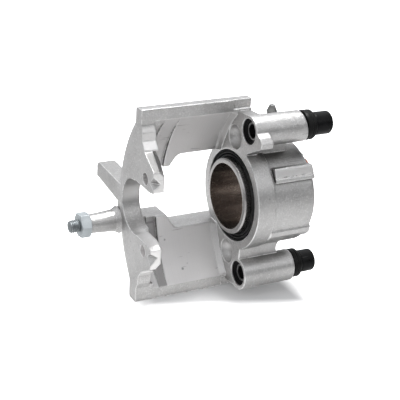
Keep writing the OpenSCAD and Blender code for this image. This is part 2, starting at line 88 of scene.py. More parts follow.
# Milled arcs of the bridge: height of the crown over the piston axis, first X and last X
INNER_ARC = (25.1, 8.5, 60.5)
GROOVE_ARC = (28.4, 8.5, 19.9)
GROOVE_FLOOR_ARC = (28.4, 8.5, 15.65)
ROOT_ARC = (31.0, 3.2, 8.7)
RIDGE_ARC = (25.1, 60.7, 65.3)

# Parts of the casting's skin: along each axis the low end, the high end and the softness
CLAW_WALLS = {"X": (-10.3, -0.3, 0.2), "Y": (-30.0, 10.0, 4.0), "Z": (-52.0, 62.2, 1.2)}
LONG_STEP = {"X": (-10.3, -0.3, 0.2), "Y": (-24.0, -8.0, 0.6), "Z": (36.8, 46.4, 0.6)}
RIB_CREST = {"X": (79.75, 130.0, 0.75), "Y": (-37.5, -33.0, 0.6), "Z": (25.8, 30.6, 0.6)}
FLANGE_BAND = (63.5, 76.5, 1.5)


# Meshes, in millimetres

def linked_object(name, data):
    """A new object in the scene."""
    made = bpy.data.objects.new(name, data)
    bpy.context.scene.collection.objects.link(made)
    return made


def mesh_object(name, points, faces, sharp_deg=38):
    """A smooth-shaded mesh whose edges over sharp_deg stay crisp."""
    mesh = bpy.data.meshes.new(name)
    mesh.from_pydata([[c * MM for c in point] for point in points], [], faces)
    bm = bmesh.new()
    bm.from_mesh(mesh)
    bmesh.ops.remove_doubles(bm, verts=bm.verts, dist=1e-7)
    bmesh.ops.recalc_face_normals(bm, faces=bm.faces)
    for face in bm.faces:
        face.smooth = True
    for edge in bm.edges:
        if len(edge.link_faces) == 2 and edge.calc_face_angle(0) > math.radians(sharp_deg):
            edge.smooth = False
    bm.to_mesh(mesh)
    bm.free()
    return linked_object(name, mesh)


def band(a, b):
    """Faces between two rings of point numbers, either of which may be a single point."""
    count = max(len(a), len(b))
    faces = []
    for i in range(count):
        j = (i + 1) % count
        if len(a) == 1:
            faces.append((a[0], b[i], b[j]))
        elif len(b) == 1:
            faces.append((a[i], b[0], a[j]))
        else:
            faces.append((a[i], b[i], b[j], a[j]))
    return faces


def skin(name, rings, closed=False, sharp_deg=38):
    """A mesh over rings of points, one after the other. A ring of one point ends it on its axis."""
    points, numbers = [], []
    for ring in rings:
        numbers.append(range(len(points), len(points) + len(ring)))
        points += ring
    faces = []
    for a, b in zip(numbers, numbers[1:] + (numbers[:1] if closed else [])):
        faces += band(a, b)
    return mesh_object(name, points, faces, sharp_deg)


def circle(x, radius, y, z, segments):
    """A ring of points about an axis along X at (y, z). radius is a number, or a function of the turn."""
    ring = []
    for i in range(segments):
        turn = i / segments
        r = radius(turn) if callable(radius) else radius
        ring.append((x, y + r * math.cos(2 * math.pi * turn), z + r * math.sin(2 * math.pi * turn)))
    return ring


def turned(name, profile, y, z, closed=False, segments=96):
    """A part turned about an axis along X at (y, z), from (x, radius) points. closed makes a ring."""
    rings = [circle(x, radius, y, z, segments) if radius else [(x, y, z)] for x, radius in profile]
    return skin(name, rings, closed)


def arc_points(centre_x, centre_r, radius, start_deg, end_deg, steps):
    """Points (x, r) on a rounded corner, for a turned profile."""
    angles = [math.radians(start_deg + (end_deg - start_deg) * i / steps) for i in range(steps + 1)]
    return [(centre_x + radius * math.cos(a), centre_r + radius * math.sin(a)) for a in angles]


def ring_groove(x, radius, slope, floor, depth):
    """Points of a shallow groove in a turned profile. A negative slope and floor go back along X."""
    return [(x, radius), (x + slope, radius - depth), (x + slope + floor, radius - depth),
            (x + 2 * slope + floor, radius)]


# Nodes that the finishes are made of

def feed(tree, value, socket):
    """Gives a node's input another node's output, or a fixed value."""
    if isinstance(value, bpy.types.NodeSocket):
        tree.links.new(value, socket)
    else:
        socket.default_value = value


def maths(tree, operation, a, b=None, clamp=False):
    """A Math node whose inputs are sockets or numbers; returns its output."""
    n = tree.nodes.new("ShaderNodeMath")
    n.operation = operation
    n.use_clamp = clamp
    feed(tree, a, n.inputs[0])
    if b is not None:
        feed(tree, b, n.inputs[1])
    return n.outputs[0]


def times(tree, first, *others):
    """The product of sockets and numbers."""
    for other in others:
        first = maths(tree, "MULTIPLY", first, other)
    return first


def most(tree, first, *others):
    """The largest of sockets and numbers."""
    for other in others:
        first = maths(tree, "MAXIMUM", first, other)
    return first


def ramp(tree, value, low, high, to_low=0.0, to_high=1.0):
    """Maps low..high to to_low..to_high smoothly; returns the output."""
    n = tree.nodes.new("ShaderNodeMapRange")
    n.interpolation_type = "SMOOTHSTEP"
    feed(tree, value, n.inputs["Value"])
    for label, number in (("From Min", low), ("From Max", high), ("To Min", to_low), ("To Max", to_high)):
        feed(tree, number, n.inputs[label])
    return n.outputs["Result"]


def noise(tree, vector, scale, detail, roughness):
    """A cloudy pattern of 0 to 1, with scale lumps to the metre."""
    n = tree.nodes.new("ShaderNodeTexNoise")
    feed(tree, vector, n.inputs["Vector"])
    for label, value in (("Scale", scale), ("Detail", detail), ("Roughness", roughness)):
        feed(tree, value, n.inputs[label])
    return n.outputs["Fac"]


def vector_maths(tree, operation, a, b):
    """A Vector Math node; returns its outputs."""
    n = tree.nodes.new("ShaderNodeVectorMath")
    n.operation = operation
    feed(tree, a, n.inputs[0])
    feed(tree, b, n.inputs[1])
    return n.outputs


def here(tree):
    """The point on the piece, in metres."""
    return tree.nodes.new("ShaderNodeTexCoord").outputs["Object"]


def facing(tree):
    """The way that the surface faces."""
    return tree.nodes.new("ShaderNodeNewGeometry").outputs["Normal"]


def separate(tree, vector):
    """The X, Y and Z of a vector."""
    n = tree.nodes.new("ShaderNodeSeparateXYZ")
    tree.links.new(vector, n.inputs["Vector"])
    return n.outputs


def stretched(tree, vector, scale, rotation=(0.0, 0.0, 0.0)):
    """The point for a pattern that is drawn out along an axis."""
    n = tree.nodes.new("ShaderNodeMapping")
    n.inputs["Rotation"].default_value = rotation
    n.inputs["Scale"].default_value = scale
    tree.links.new(vector, n.inputs["Vector"])
    return n.outputs["Vector"]


def about_axis(tree, axis_point):
    """X and the distance from an axis along X through axis_point."""
    at = separate(tree, vector_maths(tree, "SUBTRACT", here(tree), axis_point)["Vector"])
    squares = maths(tree, "ADD", times(tree, at["Y"], at["Y"]), times(tree, at["Z"], at["Z"]))
    return at["X"], maths(tree, "SQRT", squares)


# Shader groups that the finishes share

def group(name, inputs, outputs):
    """A node group with named sockets: its tree, what comes in, and the sockets to feed."""
    tree = bpy.data.node_groups.new(name, "ShaderNodeTree")
    for label, kind, value in inputs:
        socket = tree.interface.new_socket(name=label, in_out="INPUT", socket_type=kind)
        if value is not None:
            socket.default_value = value
    for label, kind in outputs:
        tree.interface.new_socket(name=label, in_out="OUTPUT", socket_type=kind)
    return tree, tree.nodes.new("NodeGroupInput").outputs, tree.nodes.new("NodeGroupOutput").inputs


def make_cast_grain():
    """The blasted skin of a casting: a fine grain and slow cloudy tones."""
    pit_scale, pit_share = 0.31, 0.22
    tree, given, result = group(
        "cast_grain",
        [("Grain per metre", "NodeSocketFloat", 1500.0), ("Cloud per metre", "NodeSocketFloat", 60.0)],
        [("Grain", "NodeSocketFloat"), ("Cloud", "NodeSocketFloat")])
    at = here(tree)
    fine = noise(tree, at, given["Grain per metre"], 4.0, 0.6)
    pits = noise(tree, at, times(tree, given["Grain per metre"], pit_scale), 2.0, 0.5)
    both = maths(tree, "ADD", times(tree, fine, 1.0 - pit_share), times(tree, pits, pit_share))
    tree.links.new(both, result["Grain"])
    tree.links.new(noise(tree, at, given["Cloud per metre"], 5.0, 0.6), result["Cloud"])
    return tree


def make_soft_edges():
    """Rounding and rub marks along edges: a normal bent over each edge, and a mask that is 1 on it."""
    patches_per_metre = 160.0
    tree, given, result = group(
        "soft_edges",
        [("Radius", "NodeSocketFloat", 0.0008), ("Wear", "NodeSocketFloat", 0.5)],
        [("Normal", "NodeSocketVector"), ("Edge", "NodeSocketFloat")])
    bevel = tree.nodes.new("ShaderNodeBevel")
    bevel.samples = 8
    tree.links.new(given["Radius"], bevel.inputs["Radius"])
    level = vector_maths(tree, "DOT_PRODUCT", bevel.outputs["Normal"], facing(tree))["Value"]
    on_edge = ramp(tree, maths(tree, "SUBTRACT", 1.0, level, clamp=True), 0.01, 0.12)
    patchy = ramp(tree, noise(tree, here(tree), patches_per_metre, 4.0, 0.7), 0.32, 0.55)
    tree.links.new(bevel.outputs["Normal"], result["Normal"])
    tree.links.new(times(tree, on_edge, patchy, given["Wear"]), result["Edge"])
    return tree


def make_turned_lines():
    """Fine tool lines: rings about an axis along X when Rings is 1, else lines square to X."""
    tree, given, result = group(
        "turned_lines",
        [("Axis point", "NodeSocketVector", None), ("Lines per metre", "NodeSocketFloat", 2500.0),
         ("Rings", "NodeSocketFloat", 0.0)],
        [("Lines", "NodeSocketFloat")])
    along_x, radius = about_axis(tree, given["Axis point"])
    pick = tree.nodes.new("ShaderNodeMix")
    tree.links.new(given["Rings"], pick.inputs["Factor"])
    tree.links.new(along_x, pick.inputs["A"])
    tree.links.new(radius, pick.inputs["B"])
    line = tree.nodes.new("ShaderNodeTexNoise")
    line.noise_dimensions = "1D"
    tree.links.new(times(tree, pick.outputs["Result"], given["Lines per metre"]), line.inputs["W"])
    line.inputs["Scale"].default_value = 1.0
    line.inputs["Detail"].default_value = 3.0
    line.inputs["Roughness"].default_value = 0.7
    tree.links.new(line.outputs["Fac"], result["Lines"])
    return tree


def make_nicks():
    """Scattered small dark nicks and thin scratches from handling."""
    scratch_strength = 0.6
    tree, given, result = group(
        "nicks",
        [("Nicks per metre", "NodeSocketFloat", 90.0), ("Amount", "NodeSocketFloat", 0.5)],
        [("Mask", "NodeSocketFloat")])
    at = here(tree)
    spots = tree.nodes.new("ShaderNodeTexVoronoi")
    tree.links.new(at, spots.inputs["Vector"])
    tree.links.new(given["Nicks per metre"], spots.inputs["Scale"])
    spot = ramp(tree, spots.outputs["Distance"], 0.05, 0.11, 1.0, 0.0)
    where = ramp(tree, noise(tree, at, 35.0, 2.0, 0.5), 0.5, 0.62)
    grazed = noise(tree, stretched(tree, at, (1.0, 14.0, 9.0), (0.5, 0.9, 0.3)), 60.0, 1.0, 0.3)
    scratch = times(tree, ramp(tree, grazed, 0.72, 0.76), scratch_strength)
    mask = most(tree, times(tree, spot, where), scratch)
    tree.links.new(times(tree, mask, given["Amount"]), result["Mask"])
    return tree


def make_on_cylinder():
    """1 on a round surface about an axis along X, which tells the milled arcs and bores from the skin."""
    blur = 0.1 * MM
    tree, given, result = group(
        "on_cylinder",
        [("Axis point", "NodeSocketVector", None), ("Radius", "NodeSocketFloat", 0.05),
         ("From X", "NodeSocketFloat", 0.0), ("To X", "NodeSocketFloat", 0.1),
         ("Band", "NodeSocketFloat", 0.0003)],
        [("Mask", "NodeSocketFloat")])
    along_x, radius = about_axis(tree, given["Axis point"])
    miss = maths(tree, "ABSOLUTE", maths(tree, "SUBTRACT", radius, given["Radius"]))
    near = ramp(tree, maths(tree, "SUBTRACT", miss, given["Band"]), -blur, blur, 1.0, 0.0)
    past = ramp(tree, maths(tree, "SUBTRACT", along_x, given["From X"]), -blur, blur)
    short = ramp(tree, maths(tree, "SUBTRACT", given["To X"], along_x), -blur, blur)
    tree.links.new(times(tree, near, past, short), result["Mask"])
    return tree


def make_crevices():
    """1 deep in corners and recesses, found by ambient occlusion, where the casting gets painted shade.
    """
    tree, given, result = group(
        "crevices",
        [("Reach", "NodeSocketFloat", 0.01)],
        [("Depth", "NodeSocketFloat")])
    open_air = tree.nodes.new("ShaderNodeAmbientOcclusion")
    open_air.samples = 8
    tree.links.new(given["Reach"], open_air.inputs["Distance"])
    tree.links.new(ramp(tree, open_air.outputs["AO"], 0.25, 0.92, 1.0, 0.0), result["Depth"])
    return tree


GROUPS = {
    "cast_grain": make_cast_grain(),
    "soft_edges": make_soft_edges(),
    "turned_lines": make_turned_lines(),
    "nicks": make_nicks(),
    "on_cylinder": make_on_cylinder(),
    "crevices": make_crevices(),
}


class Finish:
    """A material with its Principled shader, and short calls for the nodes that feed it."""

    def __init__(self, name, metallic, roughness):
        self.material = bpy.data.materials.new(name)
        self.material.use_nodes = True
        self.tree = self.material.node_tree
        self.shader = self.tree.nodes["Principled BSDF"]
        self.shader.inputs["Metallic"].default_value = metallic
        self.shader.inputs["Roughness"].default_value = roughness

    def place(self, name, **values):
        """Places a shader group and sets its sockets; words in a socket's name are joined by _."""
        n = self.tree.nodes.new("ShaderNodeGroup")
        n.node_tree = GROUPS[name]
        for key, value in values.items():
            feed(self.tree, value, n.inputs[key.replace("_", " ")])
        return n.outputs

    def blend(self, factor, low, high):
        """A colour between two, each of them a colour or a socket."""
        n = self.tree.nodes.new("ShaderNodeMix")
        n.data_type = "RGBA"
        feed(self.tree, factor, n.inputs[0])
        for socket, value in ((n.inputs[6], low), (n.inputs[7], high)):
            feed(self.tree, value if isinstance(value, bpy.types.NodeSocket) else (*value, 1.0), socket)
        return n.outputs[2]

    def number(self, factor, low, high):
        """A number that goes from low to high as the factor goes from 0 to 1."""
        return ramp(self.tree, factor, 0.0, 1.0, low, high)

    def along(self, place, low, high, to_low=0.0, to_high=1.0):
        """A number that goes from to_low to to_high between two places, in millimetres."""
        return ramp(self.tree, place, low * MM, high * MM, to_low, to_high)

    def within(self, place, low, high, soft):
        """1 between two places, in millimetres."""
        return times(self.tree, self.along(place, low - soft, low + soft),
                     self.along(place, high - soft, high + soft, 1.0, 0.0))

    def inside(self, part):
        """1 on a part of the skin that is named at the top."""
        at = separate(self.tree, here(self.tree))
        return times(self.tree, *[self.within(at[axis], *ends) for axis, ends in part.items()])

    def uneven(self, base, pattern, amount):
        """A number that varies about base with a pattern."""
        swing = maths(self.tree, "SUBTRACT", pattern, 0.5)
        return maths(self.tree, "ADD", base, times(self.tree, swing, amount))

    def colour(self, socket):
        self.tree.links.new(socket, self.shader.inputs["Base Color"])

    def metal(self, socket):
        self.tree.links.new(socket, self.shader.inputs["Metallic"])

    def rough(self, socket):
        self.tree.links.new(socket, self.shader.inputs["Roughness"])

    def bump(self, height, distance, strength, normal):
        n = self.tree.nodes.new("ShaderNodeBump")
        n.inputs["Distance"].default_value = distance * MM
        n.inputs["Strength"].default_value = strength
        self.tree.links.new(height, n.inputs["Height"])
        self.tree.links.new(normal, n.inputs["Normal"])
        self.tree.links.new(n.outputs["Normal"], self.shader.inputs["Normal"])


# The casting's finish

CAST_DARK, CAST_LIGHT = (0.50, 0.495, 0.49), (0.585, 0.58, 0.575)
CAST_GLINT = (0.67, 0.665, 0.66)
# Painted highlight on the ridge, the claw's side walls and the rib's crest
PAINTED_HIGHLIGHT = (0.93, 0.92, 0.91)
# Painted shade on the claw's long step facet
PAINTED_STEP_SHADE = (0.23, 0.227, 0.224)
MILLED_DARK, MILLED_LIGHT = (0.80, 0.785, 0.78), (0.92, 0.905, 0.90)
# Painted light on the low milled arcs by the flange, and painted shade on the high ones by the claw
MILLED_PAINTED_LIGHT = (1.0, 0.985, 0.975)
MILLED_PAINTED_SHADE = (0.60, 0.59, 0.585)
# Painted shade on the groove's floor
GROOVE_PAINTED_SHADE = (0.34, 0.33, 0.33)
# Painted shade in wide corners, in creases, and on the arm and stud boss
PAINTED_CORNER_SHADE = (0.16, 0.155, 0.15)
PAINTED_CREASE_SHADE = (0.10, 0.095, 0.09)
# Edges brightened by wear and by a painted highlight
EDGE_WEAR_AND_HIGHLIGHT = (0.97, 0.965, 0.96)
NICK_DARK = (0.16, 0.15, 0.15)


def on_round(f, y, z, radius, first_x, last_x, half_band=0.3):
    """1 on a round surface about the axis along X at (y, z), in millimetres."""
    return f.place("on_cylinder", Axis_point=(0.0, y * MM, z * MM), Radius=radius * MM,
                   From_X=first_x * MM, To_X=last_x * MM, Band=half_band * MM)["Mask"]


def on_arc(f, crown, first_x, last_x, rise=0.0):
    """1 on an arc through the near edges of the bridge, with its crown over the piston axis.
    rise is how far a ridge stands up from the arc."""
    depth = crown - ARC_NEAR_Y
    radius = (ARC_CHORD_Z ** 2 + depth ** 2) / (2 * depth)
    half_band = rise / 2 + 0.2 if rise else 0.3
    return on_round(f, crown - radius, 0.0, radius - rise / 2, first_x, last_x, half_band)


def milled_faces(f):
    """The arcs inside the bridge and both spring holes."""
    arcs = [on_arc(f, *arc) for arc in (INNER_ARC, GROOVE_ARC, ROOT_ARC)]
    # The spring holes take the bright milled tone, partly for their machining and partly as painted light
    # that lifts the shade inside them
    return most(f.tree, *arcs, *[on_round(f, *hole) for hole in SPRING_HOLES])


def bored_faces(f, at):
    """Both guide bores, the boot's seat and the upper part of the notch, whose darker tone there is
    painted shade.
    """
    bores = [on_round(f, *bore) for bore in (*GUIDE_BORES, BOOT_SEAT)]
    # Painted shade: the notch takes the darker bored tone only on its upper part
    shaded_upper_notch = times(f.tree, on_round(f, *NOTCH_END), f.along(at["Z"], -10.0, -2.0))
    return most(f.tree, *bores, shaded_upper_notch)


def painted_highlight_faces(f):
    """The ridge in front of the flange, the claw's walls that face sideways and the rib's crest, where a
    highlight is painted.
    """
    across = maths(f.tree, "ABSOLUTE", separate(f.tree, facing(f.tree))["X"])
    # Painted highlight on the claw's walls that face sideways
    walls = times(f.tree, ramp(f.tree, across, 0.25, 0.45, 1.0, 0.0), f.inside(CLAW_WALLS))
    return most(f.tree, on_arc(f, *RIDGE_ARC, rise=RIDGE_RISE), walls, f.inside(RIB_CREST))


def milled_tone(f, at, lower, lines):
    """The milled arcs: painted light low down by the flange, and painted shade high up by the claw."""
    painted_light = times(f.tree, lower, f.along(at["X"], 30.0, 58.0, 0.0, 0.95))
    painted_shade = times(f.tree, maths(f.tree, "SUBTRACT", 1.0, lower), f.along(at["X"], 12.0, 45.0, 0.6, 0.0))
    tone = f.blend(lines, MILLED_DARK, MILLED_LIGHT)
    return f.blend(painted_shade, f.blend(painted_light, tone, MILLED_PAINTED_LIGHT), MILLED_PAINTED_SHADE)


def with_painted_shade(f, at, bored, colour):
    """A colour with painted shade in wide corners and in creases, weaker on the flange and low down, and
    a little painted shade on the arm and stud boss.
    """
    off_flange = f.number(f.within(at["X"], *FLANGE_BAND), 1.0, 0.35)
    low_down = f.along(at["X"], 76.0, 82.0, 0.30, 0.62)
    shade_share = times(f.tree, f.along(at["Z"], -35.0, 20.0, low_down, 0.75), off_flange,
                      f.along(at["X"], -12.0, 30.0, 0.1, 1.0))
    # Painted shade from ambient occlusion in wide corners and in creases
    corners = times(f.tree, f.place("crevices", Reach=20.0 * MM)["Depth"], shade_share)
    creases = times(f.tree, f.place("crevices", Reach=4.0 * MM)["Depth"], f.number(bored, 0.6, 0.1))
    # Painted shade on the arm and the stud boss
    on_arm = times(f.tree, f.along(at["Y"], 30.0, 45.0, 0.0, 0.15), f.along(at["X"], 4.0, 6.0, 1.0, 0.0))
    on_boss = f.along(at["X"], -13.5, -11.0, 0.09, 0.0)
    colour = f.blend(corners, colour, PAINTED_CORNER_SHADE)
    colour = f.blend(creases, colour, PAINTED_CREASE_SHADE)
    return f.blend(most(f.tree, on_arm, on_boss), colour, PAINTED_CORNER_SHADE)


def blasted_aluminium(name, rounding):
    """The cast skin with its milled arcs and bores; painted highlights on the ridge, claw walls, rib
    crest and worn edges; painted light and shade on the milled arcs; and painted shade in corners,
    creases, the groove floor, the notch's top and one step. rounding is the edges' radius.
    """
    f = Finish(name, 1.0, 0.38)
    at = separate(f.tree, here(f.tree))
    grain = f.place("cast_grain", Grain_per_metre=820.0, Cloud_per_metre=45.0)
    edges = f.place("soft_edges", Radius=rounding * MM, Wear=0.95)
    lines = f.place("turned_lines", Axis_point=PISTON_AXIS, Lines_per_metre=1500.0, Rings=0.0)["Lines"]
    nicks = f.place("nicks", Nicks_per_metre=120.0, Amount=0.35)["Mask"]
    scars = f.place("nicks", Nicks_per_metre=70.0, Amount=0.75)["Mask"]
    lower = f.along(at["Z"], -2.0, 2.0, 1.0, 0.0)
    milled = milled_faces(f)
    bored = bored_faces(f, at)
    # Painted shade on the long step facet
    shaded_step = f.inside(LONG_STEP)

    cast = f.blend(ramp(f.tree, grain["Cloud"], 0.3, 0.7), CAST_DARK, CAST_LIGHT)
    cast = f.blend(ramp(f.tree, grain["Grain"], 0.46, 0.66), cast, CAST_GLINT)
    # Painted highlight on the ridge, the claw's walls and the rib's crest
    cast = f.blend(times(f.tree, painted_highlight_faces(f), 0.75), cast, PAINTED_HIGHLIGHT)
    cast = f.blend(shaded_step, cast, PAINTED_STEP_SHADE)
    colour = f.blend(milled, f.blend(bored, cast, CAST_DARK), milled_tone(f, at, lower, lines))
    # Painted shade on the groove's floor, in the lower half
    colour = f.blend(times(f.tree, lower, on_arc(f, *GROOVE_FLOOR_ARC), 0.8), colour, GROOVE_PAINTED_SHADE)
    # Painted shade in corners, creases and on the arm and stud boss
    colour = with_painted_shade(f, at, bored, colour)
    # Edges lightened as wear and as a painted highlight
    colour = f.blend(edges["Edge"], colour, EDGE_WEAR_AND_HIGHLIGHT)
    f.colour(f.blend(most(f.tree, nicks, times(f.tree, scars, milled)), colour, NICK_DARK))

    f.metal(f.number(milled, 1.0, 0.72))
    rough = maths(f.tree, "ADD", f.number(milled, 0.38, 0.48), times(f.tree, shaded_step, 0.17))
    f.rough(f.uneven(rough, grain["Grain"], 0.22))
    machined = most(f.tree, milled, bored)
    cast_height = times(f.tree, grain["Grain"], maths(f.tree, "SUBTRACT", 1.0, machined))
    height = maths(f.tree, "ADD", cast_height, times(f.tree, lines, machined, 0.35))
    f.bump(height, 0.42, 0.9, edges["Normal"])
    return f.material


# The finishes of the small pieces

def ground_steel(name, dark, light, rough, lines_per_metre, rings):
    """Steel with fine tool lines: rings when rings is 1, else lines round a shaft."""
    f = Finish(name, 1.0, rough)
    lines = f.place("turned_lines", Axis_point=PISTON_AXIS, Lines_per_metre=lines_per_metre,
                    Rings=rings)["Lines"]
    edges = f.place("soft_edges", Radius=0.35 * MM, Wear=0.5)
    cloud = f.place("cast_grain", Grain_per_metre=3000.0, Cloud_per_metre=120.0)["Cloud"]
    colour = f.blend(ramp(f.tree, lines, 0.3, 0.7), dark, light)
    f.colour(f.blend(edges["Edge"], colour, tuple(1.25 * c for c in light)))
    f.rough(f.uneven(ramp(f.tree, cloud, 0.3, 0.7, rough - 0.07, rough + 0.09), lines, 0.15))
    f.bump(lines, 0.02, 0.5, edges["Normal"])
    return f.material


def piston_steel():
    """Satin steel outside and on the rim, and dark oxide in the hollow with pale streaks painted in as
    reflections.
    """
    hollow_r, rim_r = 24.95, 25.35
    f = Finish("piston_steel", 1.0, 0.3)
    lines = f.place("turned_lines", Axis_point=PISTON_AXIS, Lines_per_metre=1800.0, Rings=0.0)["Lines"]
    edges = f.place("soft_edges", Radius=0.4 * MM, Wear=0.5)
    grain = f.place("cast_grain", Grain_per_metre=2600.0, Cloud_per_metre=55.0)
    radius = about_axis(f.tree, PISTON_AXIS)[1]
    hollow = f.along(radius, hollow_r, rim_r, 1.0, 0.0)
    steel = f.blend(ramp(f.tree, lines, 0.3, 0.7), (0.36, 0.35, 0.345), (0.52, 0.51, 0.505))
    oxide = f.blend(ramp(f.tree, grain["Cloud"], 0.35, 0.68), (0.33, 0.295, 0.275), (0.44, 0.40, 0.375))
    oxide = f.blend(ramp(f.tree, lines, 0.35, 0.75), oxide, (0.62, 0.575, 0.545))
    # Painted reflections: pale streaks drawn along the hollow
    painted_streaks = noise(f.tree, stretched(f.tree, here(f.tree), (0.12, 1.0, 1.0)), 110.0, 3.0, 0.5)
    oxide = f.blend(times(f.tree, ramp(f.tree, painted_streaks, 0.46, 0.60), 0.7), oxide, (0.88, 0.83, 0.79))
    f.colour(f.blend(edges["Edge"], f.blend(hollow, steel, oxide), (0.70, 0.69, 0.68)))
    f.rough(f.uneven(f.number(hollow, 0.27, 0.25), grain["Grain"], 0.2))
    f.bump(lines, 0.02, 0.6, edges["Normal"])
    return f.material


def black_rubber(name, tone, rough):
    """Matt black rubber, greyer on its edges. tone is its mean reflectance."""
    f = Finish(name, 0.0, rough)
    f.shader.inputs["Specular IOR Level"].default_value = 0.14
    grain = f.place("cast_grain", Grain_per_metre=2600.0, Cloud_per_metre=140.0)
    edges = f.place("soft_edges", Radius=0.4 * MM, Wear=0.35)
    colour = f.blend(ramp(f.tree, grain["Cloud"], 0.35, 0.7), (tone * 0.7,) * 3, (tone * 1.5,) * 3)
    f.colour(f.blend(edges["Edge"], colour, (tone * 3.0,) * 3))
    f.rough(ramp(f.tree, grain["Grain"], 0.35, 0.65, rough - 0.08, rough + 0.1))
    f.bump(grain["Grain"], 0.05, 0.6, edges["Normal"])
    return f.material


def moulded_black():
    """The caps' black plastic, with a few pale handling marks."""
    f = Finish("moulded_black", 0.0, 0.3)
    f.shader.inputs["Specular IOR Level"].default_value = 0.13
    grain = f.place("cast_grain", Grain_per_metre=1800.0, Cloud_per_metre=120.0)
    edges = f.place("soft_edges", Radius=0.6 * MM, Wear=0.3)
    nicks = f.place("nicks", Nicks_per_metre=160.0, Amount=0.25)["Mask"]
    mottle = ramp(f.tree, grain["Cloud"], 0.35, 0.7)
    colour = f.blend(mottle, (0.003, 0.003, 0.0033), (0.006, 0.006, 0.0065))
    colour = f.blend(edges["Edge"], colour, (0.03, 0.03, 0.031))
    f.colour(f.blend(nicks, colour, (0.16, 0.16, 0.16)))
    f.rough(ramp(f.tree, grain["Cloud"], 0.3, 0.7, 0.24, 0.42))
    f.bump(grain["Grain"], 0.03, 0.5, edges["Normal"])
    return f.material


def orange_plastic():
    """The shipping plug's orange-red plastic."""
    f = Finish("orange_plastic", 0.0, 0.45)
    grain = f.place("cast_grain", Grain_per_metre=2200.0, Cloud_per_metre=150.0)
    edges = f.place("soft_edges", Radius=0.4 * MM, Wear=0.5)
    colour = f.blend(ramp(f.tree, grain["Cloud"], 0.35, 0.7), (0.50, 0.11, 0.03), (0.66, 0.18, 0.06))
    f.colour(f.blend(edges["Edge"], colour, (0.74, 0.30, 0.14)))
    f.rough(ramp(f.tree, grain["Grain"], 0.35, 0.65, 0.38, 0.52))
    f.bump(grain["Grain"], 0.03, 0.5, edges["Normal"])
    return f.material


def zinc_plate(name, dark, light):
    """Zinc plating with a faint mottle."""
    f = Finish(name, 1.0, 0.3)
    grain = f.place("cast_grain", Grain_per_metre=2400.0, Cloud_per_metre=120.0)
    edges = f.place("soft_edges", Radius=0.5 * MM, Wear=0.7)
    nicks = f.place("nicks", Nicks_per_metre=300.0, Amount=0.2)["Mask"]
    colour = f.blend(ramp(f.tree, grain["Cloud"], 0.32, 0.7), dark, light)
    colour = f.blend(edges["Edge"], colour, (0.88, 0.90, 0.92))
    f.colour(f.blend(nicks, colour, (0.25, 0.26, 0.27)))
    f.rough(ramp(f.tree, grain["Cloud"], 0.3, 0.7, 0.44, 0.54))
    f.bump(grain["Grain"], 0.02, 0.5, edges["Normal"])
    return f.material


CASTING = blasted_aluminium("blasted_aluminium", 1.6)
ROOT_CASTING = blasted_aluminium("root_aluminium", 0.05)
PISTON_STEEL = piston_steel()
BUSH_RUBBER = black_rubber("bush_rubber", 0.006, 0.36)
BOOT_RUBBER = black_rubber("boot_rubber", 0.022, 0.5)
SEAL_RUBBER = black_rubber("seal_rubber", 0.03, 0.5)
CAP_BLACK = moulded_black()
PLUG_ORANGE = orange_plastic()
NUT_ZINC = zinc_plate("zinc_plate", (0.50, 0.54, 0.56), (0.62, 0.66, 0.68))
STUD_STEEL = zinc_plate("stud_steel", (0.26, 0.28, 0.29), (0.42, 0.45, 0.46))
BLEED_ZINC = zinc_plate("bleed_zinc", (0.20, 0.20, 0.195), (0.36, 0.36, 0.35))
SLEEVE_STEEL = ground_steel("sleeve_steel", (0.20, 0.20, 0.20), (0.34, 0.34, 0.34), 0.28, 2600.0, 0.0)
PIN_STEEL = ground_steel("pin_steel", (0.34, 0.34, 0.34), (0.55, 0.55, 0.54), 0.34, 3000.0, 1.0)

NODE_FINISHES = {
    "caliper_housing": CASTING,
    "piston": PISTON_STEEL,
    "piston_seal": SEAL_RUBBER,
    "dust_boot": BOOT_RUBBER,
    "upper_guide_bush": BUSH_RUBBER,
    "lower_guide_bush": BUSH_RUBBER,
    "upper_guide_sleeve": SLEEVE_STEEL,
    "lower_guide_sleeve": SLEEVE_STEEL,
    "upper_end_cap": CAP_BLACK,
    "lower_end_cap": CAP_BLACK,
    "bleed_screw": BLEED_ZINC,
    "inlet_plug": PLUG_ORANGE,
    "locating_pin": PIN_STEEL,
    "outboard_stud": STUD_STEEL,
    "stud_nut": NUT_ZINC,
}


def dress(node, material):
    """Gives a CAD node's mesh one material."""
    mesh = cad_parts[node].data
    if mesh.materials:
        for i in range(len(mesh.materials)):
            mesh.materials[i] = material
    else:
        mesh.materials.append(material)


for node_name, finish in NODE_FINISHES.items():
    dress(node_name, finish)


# Pieces that stand for a plain solid, in millimetres

def finish_piece(piece, material, slot, body, *nodes):
    """Gives a piece its material and body, and hides the nodes that it stands for. The slot is not used.
    """
    piece.data.materials.append(material)
    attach(piece, body)
    if nodes:
        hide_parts(*nodes)


def x_ends(node):
    """The lowest and highest X of a CAD node."""
    lo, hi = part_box(node)
    return lo.x / MM, hi.x / MM


def thread_radius(x, turn, tip_x, thread_end_x):
    """The radius of the stud's thread, which fades in at the tip and out at the thread's end."""
    crest_drop, flank, crest_width = 0.15, 1.45, 0.12
    lead_in = min(1.0, (x - tip_x) / (0.8 * THREAD_PITCH))
    run_out = max(0.0, min(1.0, (thread_end_x - x) / (1.2 * THREAD_PITCH)))
    share = ((x - tip_x) / THREAD_PITCH - turn) % 1.0
    groove = max(0.0, min(1.0, flank * (1 - abs(2 * share - 1)) - crest_width))
    crest = STUD_R - THREAD_DEPTH * (1 - lead_in) - crest_drop
    return min(STUD_R - THREAD_DEPTH * groove * run_out, crest)


